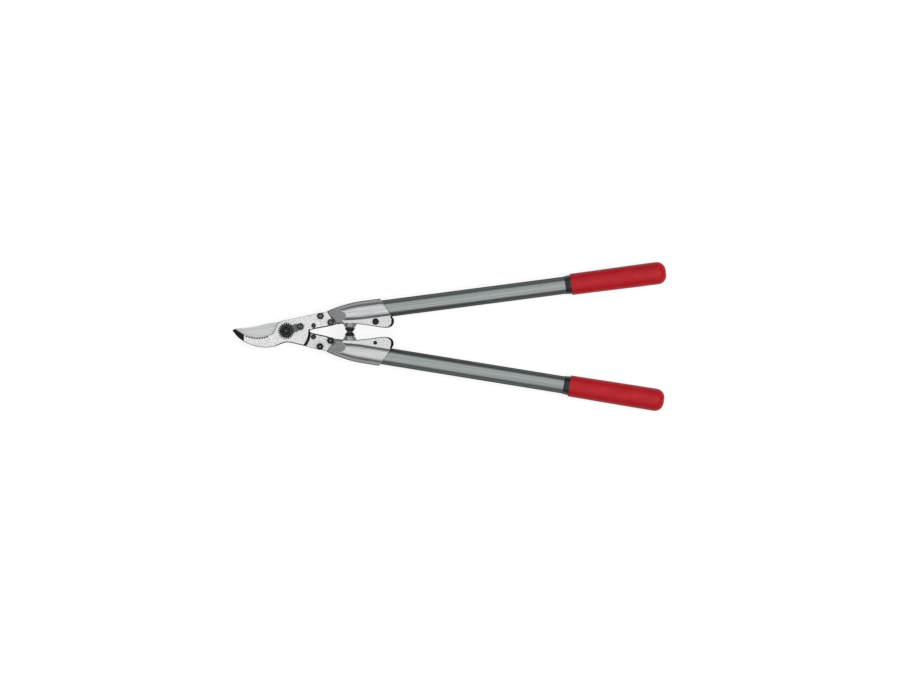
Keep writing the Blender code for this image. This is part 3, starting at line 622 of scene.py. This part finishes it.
def headFinish(face):
    # Flange and tongue are milled flat. Painted shade, black, lies along the inner edge, from the pivot's
    # side to the cup, low on the tongue's outer edge, and on the flange's rear end.
    cast, milled, paintedShade, cup = range(4)
    look = casting
    line = look["innerLine"]
    x, y, z = (value / mm for value in face.center)
    normal = face.normal
    out = y * math.cos(armAngle) - x * math.sin(armAngle)  # from a line along the tube through the pivot
    inside = line[0][0] < x < line[-1][0] and y < look["innerSide"]
    # Painted shade, black, along the inner edge.
    if inside and distanceTo((x, y), line) < look["innerWidth"]:
        return paintedShade
    # Painted shade, black, on the flange's rear end.
    if x > look["rear"] and out < look["rearSide"] and normal.x > 0.2 and abs(normal.z) < 0.94:
        return paintedShade
    tongue = x < look["tongueEnd"] and z < 0
    flange = abs(abs(z) - look["flange"]) < 0.25 and x > look["cupFront"] and out < look["flangeSide"]
    if abs(normal.z) > 0.985 and (tongue or flange):
        return milled
    # Painted shade, black, low on the tongue's outer edge.
    if x < look["paintedShadeEnd"] and z < look["paintedShadeTop"] and normal.y > 0.3:
        return paintedShade
    return cup if abs(x - look["cup"]) < look["cupReach"] and y < look["cupSide"] else cast


def castHead():
    look = casting
    made = copyOfNode("upper_handle_head", "cast_head")
    useModifier(made, "REMESH", mode="VOXEL", voxel_size=look["voxel"] * mm)
    useModifier(made, "SMOOTH", factor=0.5, iterations=look["passes"])
    line, paintedShadeEnd, spare = look["innerLine"], look["paintedShadeEnd"], 2
    innerEnd = line[-1][0]
    borders = [  # where the painted black shade ends, cut clean: where from and to, a point and the way across
        ((innerEnd - spare, innerEnd + spare), (innerEnd, 0, 0), (1, 0, 0)),
        ((look["paintedShadeStart"], paintedShadeEnd + spare), (0, 0, look["paintedShadeTop"]), (0, 0, 1)),
        ((paintedShadeEnd - spare, paintedShadeEnd + spare), (paintedShadeEnd, 0, 0), (1, 0, 0)),
    ]
    for start, end in zip(line, line[1:]):
        step = (Vector(end) - Vector(start)).normalized()
        side = Vector((-step.y, step.x, 0))
        place = Vector(start).to_3d() + side * look["innerWidth"]
        borders.append(((start[0] - 1, end[0] + 1), place, side))
    for (first, last), place, side in borders:
        select(made, "FACE", lambda face: first < face.center.x / mm < last)
        bpy.ops.mesh.bisect(plane_co=Vector(place) * mm, plane_no=side)
        bpy.ops.object.mode_set(mode="OBJECT")
    paint(made, (castMetal["upper"], milledMetal, darkFlat, cupMetal), headFinish)
    pick(made)
    bpy.ops.object.shade_smooth()
    settleBoth(made, "handle_head", castMetal)


castHead()
print("cast heads made")


# Handles

handle = {
    "sides": 96, "tubeStart": 98.3, "tubeEnd": 521.3, "tubeRadius": 12.0, "wall": 1.8, "chamfer": 0.3,
    "gripFront": 398.0, "gripEnd": 530.6, "frontRadius": 14.8, "rearRadius": 15.5,
    "swell": ((0.15, 0.12), (0.3, 0.36), (0.45, 0.62), (0.6, 0.84), (0.72, 0.96), (0.82, 1.0)),
    "endRound": 12.0, "bore": 12.3, "endWall": 9.0, "lip": 1.1,
    "collarLength": 7.6, "collarRadius": 12.8, "collarRim": 0.4, "collarGroove": 0.2,
}


def handleTube():
    look = handle
    start, end, radius, chamfer = (look[key] for key in ("tubeStart", "tubeEnd", "tubeRadius", "chamfer"))
    inner, eased = radius - look["wall"], radius - chamfer
    outside = [(start, eased), (start + chamfer, radius), (end - chamfer, radius), (end, eased)]
    made = turn("drawn_tube", outside + [(end, inner), (start, inner)], look["sides"], closed=True)
    moveBy(made, tubeLine)
    shadeByAngle(made)
    settleBoth(made, "tube", tubeMetal)


def handleCollar():
    look = handle
    end = look["gripFront"] - air
    start = end - look["collarLength"]
    radius, bore = look["collarRadius"], look["bore"]
    rim, groove = radius + look["collarRim"], radius - look["collarGroove"]
    front = [(start, bore), (start, radius - 0.25), (start + 0.3, radius), (start + 2.2, radius)]
    middle = [(start + 2.4, groove), (start + 2.9, groove), (start + 3.1, radius)]
    rear = [(end - 2.0, rim), (end - 0.3, rim), (end, radius), (end, bore)]
    made = turn("collar_sleeve", front + middle + rear, look["sides"], closed=True)
    moveBy(made, tubeLine)
    shadeByAngle(made)
    settleBoth(made, "collar", {arm: plastic for arm in arms})


def handleGrip():
    look = handle
    front, end, bore, lip = look["gripFront"], look["gripEnd"], look["bore"], look["lip"]
    slim, stout, size = look["frontRadius"], look["rearRadius"], look["endRound"]
    inside = [(end - look["endWall"], bore), (front + 0.5, bore), (front, bore + 0.5)]
    mouth = corner(front + lip, slim - lip, lip, first=180, last=90)
    length = end - front
    middle = [(front + length * share, slim + (stout - slim) * rise) for share, rise in look["swell"]]
    dome = corner(end - size, stout - size, size, first=90, last=4, count=16)
    made = turn("grip_sleeve", inside + mouth + middle + dome + [(end, 2.0)], look["sides"])
    moveBy(made, tubeLine)
    shadeByAngle(made, angle=40)
    settleBoth(made, "grip", {arm: vinyl for arm in arms})


handleTube()
handleCollar()
handleGrip()
print("handles made")


# Fasteners

def overCorners(across):  # a hexagon's radius, from its width across flats
    return across / 2 / math.cos(math.pi / 6)


def hexPrism(name, across, low, high):
    deselect()
    bpy.ops.mesh.primitive_cylinder_add(
        vertices=6, radius=overCorners(across) * mm, depth=(high - low) * mm,
        location=(0, 0, (low + high) / 2 * mm), rotation=(0, 0, math.pi / 6),
    )
    made = bpy.context.object
    made.name = name
    bpy.ops.object.transform_apply(location=True, rotation=True)
    return made


def threadEnd(low, high, radius, pitch=0.8, depth=0.4):  # rings of thread from the end inwards
    profile = [(low, radius - 0.9)]
    height = low + 0.45
    while height < high:
        profile += [(height, radius), (height + pitch / 2, radius - depth)]
        height += pitch
    return profile


bolt = {
    "across": 8.8, "head": 3.4, "nut": 4.0, "radius": 2.5, "proud": 0.8, "dish": 0.35, "dishFloor": 2.2,
    "outer": (46.8, 21.15), "inner": (61.1, 12.5),  # mm from the pivot
}


def hexBolt(where):
    look = bolt
    flats, corners, radius = look["across"] / 2, overCorners(look["across"]), look["radius"]
    seat = plateTop + air
    top = seat + look["head"]
    end = -seat - look["nut"] - look["proud"]
    head = hexPrism(f"{where}_hex_bolt", look["across"], seat, top)
    shape = [
        (seat - hair, corners - 0.25), (seat + 0.2, corners + 0.2), (top - 0.52, corners + 0.05),
        (top, flats - 0.35), (top + hair, 1.0),
    ]
    useBoolean(head, turn("chamfer", shape, sides=64), "INTERSECT")
    dish = [(top - look["dish"], look["dishFloor"]), (top + 0.2, look["dishFloor"] + 0.7)]
    useBoolean(head, turn("dish", dish, sides=48), "DIFFERENCE")
    shank = threadEnd(end, -seat + 0.4, radius) + [(-plateTop + 0.6, radius), (seat + 0.8, radius)]
    useBoolean(head, turn("shank", shank, sides=48), "UNION")
    softenEdges(head, 0.12, angle=28)
    paint(head, (blackSteel, greySteel), spot(head, look["dishFloor"] + 0.2))
    shadeByAngle(head)
    moveBy(head, shift(*look[where]))
    settleBoth(head, f"{where}_bolt", {})


def hexNut(where):
    look = bolt
    flats, corners = look["across"] / 2 - 0.3, overCorners(look["across"])
    bore = look["radius"] + air
    top = -plateTop - air
    low = top - look["nut"]
    made = hexPrism(f"{where}_hex_nut", look["across"], low, top)
    shape = [
        (low - hair, bore + 0.4), (low - hair, flats), (low + 0.5, corners + 0.05),
        (top - 0.3, corners + 0.05), (top + hair, corners - 0.3),
        (top + hair, bore + 0.3), (top - 0.3, bore), (low + 0.4, bore),
    ]
    useBoolean(made, turn("chamfer", shape, sides=64, closed=True), "INTERSECT")
    softenEdges(made, 0.1, angle=28)
    shadeByAngle(made)
    moveBy(made, shift(*look[where]))
    settleBoth(made, f"{where}_nut", {arm: blackSteel for arm in arms})


def dowelPin():
    look = {"radius": 2.9, "proud": 0.7, "head": 3.3, "centre": 1.0, "at": (37.5, 7.85)}
    radius, head, centre = look["radius"], look["head"], look["centre"]
    end, under = -plateTop - look["proud"], -plateTop - 0.05
    half = [(end + 0.3, centre), (end, centre + 0.25), (end, head - 0.5), (end + 0.2, head - 0.1)]
    half += [(end + 0.4, head), (under, head), (under, radius)]
    made = turn("dowel", half + [(-height, size) for height, size in half[::-1]], sides=48)
    paint(made, (blackSteel, greySteel), spot(made, centre + 0.1))
    shadeByAngle(made, angle=40)
    moveBy(made, shift(*look["at"]))
    settleBoth(made, "dowel_pin", {})


def clampScrew():
    look = {
        "radius": 2.0, "head": 3.9, "height": 4.0, "seat": 7.3, "end": -10.4, "socket": 3.0, "deep": 2.4,
        "at": (123.8, -3.3),  # along the tube, and out from the pivot
    }
    radius, head, seat = look["radius"], look["head"], look["seat"]
    top = seat + look["height"]
    profile = threadEnd(look["end"], 0.0, radius) + [(1.0, radius), (seat, radius)]
    profile += [(seat, head - 0.2), (seat + 0.2, head), (top - 0.5, head), (top, head - 0.5)]
    made = turn("socket_screw", profile, sides=64)
    useBoolean(made, hexPrism("socket", look["socket"], top - look["deep"], top + 1), "DIFFERENCE")
    softenEdges(made, 0.1, angle=50)
    shadeByAngle(made)
    moveBy(made, Matrix.Rotation(armAngle, 4, "Z") @ shift(*look["at"]))
    settleBoth(made, "clamp_screw", {arm: blackSteel for arm in arms})


for where in ("outer", "inner"):
    hexBolt(where)
    hexNut(where)
dowelPin()
clampScrew()
print("fasteners made")


# Pivot

lockScrewAt = (19.4, 6.2)  # mm from the pivot


def pivotBolt():
    look = {
        "head": 9.5, "height": 3.6, "bearing": 6.0, "thread": 4.5, "threadLength": 7.2, "flats": 9.6,
        "end": 13.15, "centre": 1.6,
    }
    head, bearing, end, centre = (look[key] for key in ("head", "bearing", "end", "centre"))
    low = -plateTop - air
    under = low - look["height"]
    dome = [(under, head - 1.9), (under + 0.35, head - 0.8), (under + 1.2, head)]
    neck = [(low - 0.2, head), (low, head - 0.2), (low, bearing), (-seamGap, bearing)]
    seat = [(plateTop - 0.4, bearing), (plateTop - 0.4, look["thread"])]
    rings = threadEnd(0, look["threadLength"], look["thread"], pitch=1.0, depth=0.5)
    thread = [(end - inwards, radius) for inwards, radius in rings[::-1]]
    dimple = [(end, centre + 0.2), (end - 0.3, centre)]
    made = turn("pivot_screw", dome + neck + seat + thread + dimple, sides=64)
    softenEdges(made, 0.12, angle=50)
    # Painted highlight: the bolt's end is a lighter grey.
    paint(made, (blackSteel, shadeAndHighlightGrey), spot(made, centre + 0.1))
    shadeByAngle(made)
    wide, long, spare = 6, 20, 2  # mm, of the block that cuts a flat
    middle = plateTop / 2 - seamGap / 2 + spare / 2
    for side in (-1, 1):
        deselect()
        place = (side * (look["flats"] / 2 + wide / 2) * mm, 0, middle * mm)
        bpy.ops.mesh.primitive_cube_add(size=1, location=place)
        flat = bpy.context.object
        flat.scale = (wide * mm, long * mm, (plateTop + seamGap + spare) * mm)
        bpy.ops.object.transform_apply(location=True, scale=True)
        useBoolean(made, flat, "DIFFERENCE")
    settle(made, "upper", ["pivot_bolt"], [])


def toothedNut():
    # A ring of short blunt teeth with a hexagon on top. One tooth points at the lock plate's screw.
    look = {
        "teeth": 20, "tip": 11.5, "middle": 10.0, "root": 8.6, "low": 5.45, "high": 8.75,
        "across": 13.4, "top": 12.55, "bore": 4.8, "hexTurned": -18, "greyLimit": 10,
    }
    count, low, high, top, bore = (look[key] for key in ("teeth", "low", "high", "top", "bore"))
    half = math.pi / count / 6  # half of a sixth of a tooth
    turned = math.atan2(lockScrewAt[1], lockScrewAt[0]) + half
    deselect()
    bpy.ops.mesh.primitive_circle_add(
        vertices=6 * count, radius=look["root"] * mm, location=(0, 0, low * mm), rotation=(0, 0, turned),
        fill_type="NGON",
    )
    made = bpy.context.object
    made.name = "toothed_play_nut"
    bpy.ops.object.transform_apply(location=True, rotation=True)
    bpy.ops.object.mode_set(mode="EDIT")
    bpy.ops.mesh.select_mode(type="VERT")
    bpy.ops.mesh.select_all(action="SELECT")
    bpy.ops.mesh.extrude_region_move(TRANSFORM_OT_translate={"value": (0, 0, (high - low) * mm)})
    bpy.ops.mesh.select_all(action="SELECT")
    bpy.ops.mesh.normals_make_consistent(inside=False)
    for share, radius in ((0.5, look["tip"]), (1.5, look["middle"])):  # sixths of a tooth from its middle
        bpy.ops.mesh.select_all(action="DESELECT")
        bpy.ops.object.mode_set(mode="OBJECT")
        for vertex in made.data.vertices:
            around = (math.atan2(vertex.co.y, vertex.co.x) - turned + half) * count / math.tau
            vertex.select = abs(abs(around - round(around)) * 6 - share) < 0.1
        bpy.ops.object.mode_set(mode="EDIT")
        grown = radius / look["root"]
        bpy.ops.transform.resize(value=(grown, grown, 1), center_override=(0, 0, 0))
    bpy.ops.object.mode_set(mode="OBJECT")
    flats, corners = look["across"] / 2, overCorners(look["across"])
    hexagon = hexPrism("hexagon", look["across"], high - 0.5, top)
    crown = [(high - 0.6, corners + 0.3), (top - 0.75, corners + 0.1), (top, flats - 0.3), (top + hair, 1.0)]
    useBoolean(hexagon, turn("crown", crown, sides=64), "INTERSECT")
    moveBy(hexagon, Matrix.Rotation(math.radians(look["hexTurned"]), 4, "Z"))
    useBoolean(made, hexagon, "UNION")
    drill = [(low - 0.5, bore + 0.5), (low + 0.5, bore), (top - 0.6, bore), (top + 0.1, bore + 0.7)]
    useBoolean(made, turn("drill", drill, sides=64), "DIFFERENCE")
    softenEdges(made, 0.14, angle=28)

    def onChamfer(face):  # the hexagon's chamfer, painted grey as a highlight
        return int(face.center.z / mm > look["greyLimit"] and 0.3 < face.normal.z < 0.97)

    paint(made, (blackSteel, shadeAndHighlightGrey), onChamfer)
    shadeByAngle(made)
    settle(made, "upper", ["toothed_nut"], [])


def lockPlate():
    look = {"edge": 0.16}
    made = copyOfNode("locking_segment", "toothed_lock_plate")
    softenEdges(made, look["edge"], angle=28)
    # Painted shade: the plate's sides and chamfers are black round its grey top.
    paint(made, (greySteel, darkFlat), lambda face: 0 if face.normal.z > 0.95 else 1)
    shadeByAngle(made)
    settle(made, "upper", ["locking_segment"], [])


def slottedScrew():
    look = {
        "plate": 3.0, "radius": 2.0, "head": 4.7, "height": 2.2, "slot": 1.4, "slotLength": 14,
        "deep": 1.1, "turned": 68, "greyLimit": 2.95,
    }
    seat = plateTop + 2 * air + look["plate"]
    top = seat + look["height"]
    radius, rim, greyLimit = look["radius"], look["head"], look["greyLimit"]
    profile = [(1.35, radius - 0.4), (1.7, radius), (seat, radius), (seat, rim - 0.15)]
    profile += [(seat + 0.15, rim), (top - 0.8, rim)]
    profile += corner(top - 0.75, rim - 0.8, 0.8, first=80, last=20, count=4)
    profile += [(top, greyLimit), (top - 0.1, greyLimit - 0.1), (top - 0.05, 1.0)]
    made = turn("slotted_screw", profile, sides=64)
    deselect()
    angle = math.radians(look["turned"])
    bpy.ops.mesh.primitive_cube_add(size=1, location=(0, 0, top * mm), rotation=(0, 0, angle))
    slot = bpy.context.object
    slot.scale = (look["slotLength"] * mm, look["slot"] * mm, 2 * look["deep"] * mm)
    bpy.ops.object.transform_apply(location=True, rotation=True, scale=True)
    useBoolean(made, slot, "DIFFERENCE")
    softenEdges(made, 0.1, angle=50)
    # The screw's top, inside the grey limit, is painted grey and its rim black.
    paint(made, (blackSteel, greySteel), spot(made, greyLimit))
    shadeByAngle(made)
    moveBy(made, shift(*lockScrewAt))
    settle(made, "upper", ["locking_screw"], [])


pivotBolt()
toothedNut()
lockPlate()
slottedScrew()
print("pivot made")


# Stop buffers

def stopBuffer():
    look = {"nose": 0.06, "mouth": 5.6, "face": 3.9, "radius": 6.9, "stem": 4.8, "deep": 5.0}
    mouth, face, radius, stem = (look[key] for key in ("mouth", "face", "radius", "stem"))
    inner = mouth + look["deep"]
    profile = [(inner, stem - 0.3), (inner - 0.3, stem), (mouth, stem)]
    profile += [(mouth, radius - 0.6), (mouth - 0.25, radius - 0.2), (mouth - 0.8, radius)]
    profile += [(4.2, radius - 0.05), (3.4, radius - 0.45), (2.6, radius - 0.95)]  # the bowl
    profile += [(1.8, radius - 1.6), (1.1, radius - 2.3)]
    profile += [(0.55, face + 0.45), (0.25, face), (look["nose"], face - 0.4)]
    made = turn("stop_buffer", profile, sides=64)
    moveBy(made, shift(casting["cup"], 0) @ Matrix.Rotation(-math.pi / 2, 4, "X"))
    shadeByAngle(made, angle=40)
    settleBoth(made, "buffer", {arm: rubber for arm in arms})


stopBuffer()
print("buffers made")


# Studio

def studioFloor():
    look = {"colour": "#A6A6A6", "dim": "#5A5A5A", "lift": 0.77, "size": 40.0}
    deselect()
    bpy.ops.mesh.primitive_plane_add(size=look["size"], location=(0, 0, 0))
    floor = bpy.context.object
    floor.name = "floor"
    material = bpy.data.materials.new("matt_white_floor")
    material.use_nodes = True
    tree = material.node_tree
    tree.nodes.clear()
    rays = addNode(tree, "LightPath", {}, {})
    seen = addNode(
        tree, "Math", {"operation": "ADD"},
        {0: rays.outputs["Is Camera Ray"], 1: rays.outputs["Is Glossy Ray"]},
    )
    seen = addNode(
        tree, "Math", {"operation": "ADD", "use_clamp": True},
        {0: seen.outputs[0], 1: rays.outputs["Is Transmission Ray"]},
    )
    tone = addNode(
        tree, "Mix", {"data_type": "RGBA", 6: linear(look["dim"]), 7: linear(look["colour"])},
        {0: seen.outputs[0]},
    )
    matt = addNode(tree, "BsdfDiffuse", {}, {"Color": tone.outputs[2]})
    power = addNode(tree, "Math", {"operation": "MULTIPLY", 1: look["lift"]}, {0: seen.outputs[0]})
    glow = addNode(tree, "Emission", {"Color": white}, {"Strength": power.outputs[0]})
    both = addNode(tree, "AddShader", {}, {0: matt.outputs[0], 1: glow.outputs[0]})
    addNode(tree, "OutputMaterial", {}, {"Surface": both.outputs[0]})
    floor.data.materials.append(material)


def studioWorld():
    # A long bright panel overhead, wide across the arms and narrower along them, in a dim room.
    look = {"panel": 1.05, "room": 0.06, "along": (0.42, 0.72), "across": (0.72, 0.9), "above": 0.35}
    world = bpy.data.worlds.new("studio")
    bpy.context.scene.world = world
    world.use_nodes = True
    tree = world.node_tree
    place = addNode(tree, "TexCoord", {}, {}).outputs["Generated"]
    parts = addNode(tree, "SeparateXYZ", {}, {"Vector": place})
    fades = []
    for axis, key in (("X", "along"), ("Y", "across")):
        size = addNode(tree, "Math", {"operation": "ABSOLUTE"}, {0: parts.outputs[axis]})
        stops = [(look[key][0], white), (look[key][1], black)]
        fades.append(addNode(tree, "ValToRGB", {"stops": stops}, {"Fac": size.outputs[0]}).outputs["Color"])
    stops = [(0.0, black), (look["above"], white)]
    above = addNode(tree, "ValToRGB", {"stops": stops}, {"Fac": parts.outputs["Z"]})
    share = addNode(tree, "Math", {"operation": "MULTIPLY"}, {0: fades[0], 1: fades[1]})
    share = addNode(tree, "Math", {"operation": "MULTIPLY"}, {0: share.outputs[0], 1: above.outputs["Color"]})
    power = addNode(
        tree, "MapRange", {"To Min": look["room"], "To Max": look["panel"]}, {"Value": share.outputs[0]},
    )
    tree.links.new(power.outputs[0], tree.nodes["Background"].inputs["Strength"])
    tree.nodes["Background"].inputs["Color"].default_value = white


def studioLamp(name, size, place, target, watts):
    lamp = bpy.data.lights.new(name, "AREA")
    lamp.size = size
    lamp.energy = watts
    made = bpy.data.objects.new(name, lamp)
    bpy.context.scene.collection.objects.link(made)
    made.location = place
    made.rotation_euler = (Vector(target) - Vector(place)).to_track_quat("-Z", "Y").to_euler()


def studioCamera():
    look = {"pixel": 1.3825, "pixels": 900, "lens": 200.0, "roll": 0.88, "middle": (1.69, -5.79)}
    lens = bpy.data.cameras.new("camera")
    lens.lens = look["lens"]
    made = bpy.data.objects.new("camera", lens)
    bpy.context.scene.collection.objects.link(made)
    distance = look["lens"] / lens.sensor_width * look["pixel"] * look["pixels"] * mm
    made.location = (look["middle"][0] * mm, look["middle"][1] * mm, pivot.z + distance)
    made.rotation_euler = (0, 0, math.radians(look["roll"]))
    bpy.context.scene.camera = made


studioFloor()
studioWorld()
studioLamp("softbox", size=0.8, place=(1.3, 0, 1.6), target=(0, 0, 0), watts=9)
studioCamera()
bpy.context.scene.view_settings.view_transform = "Standard"
print("studio made")
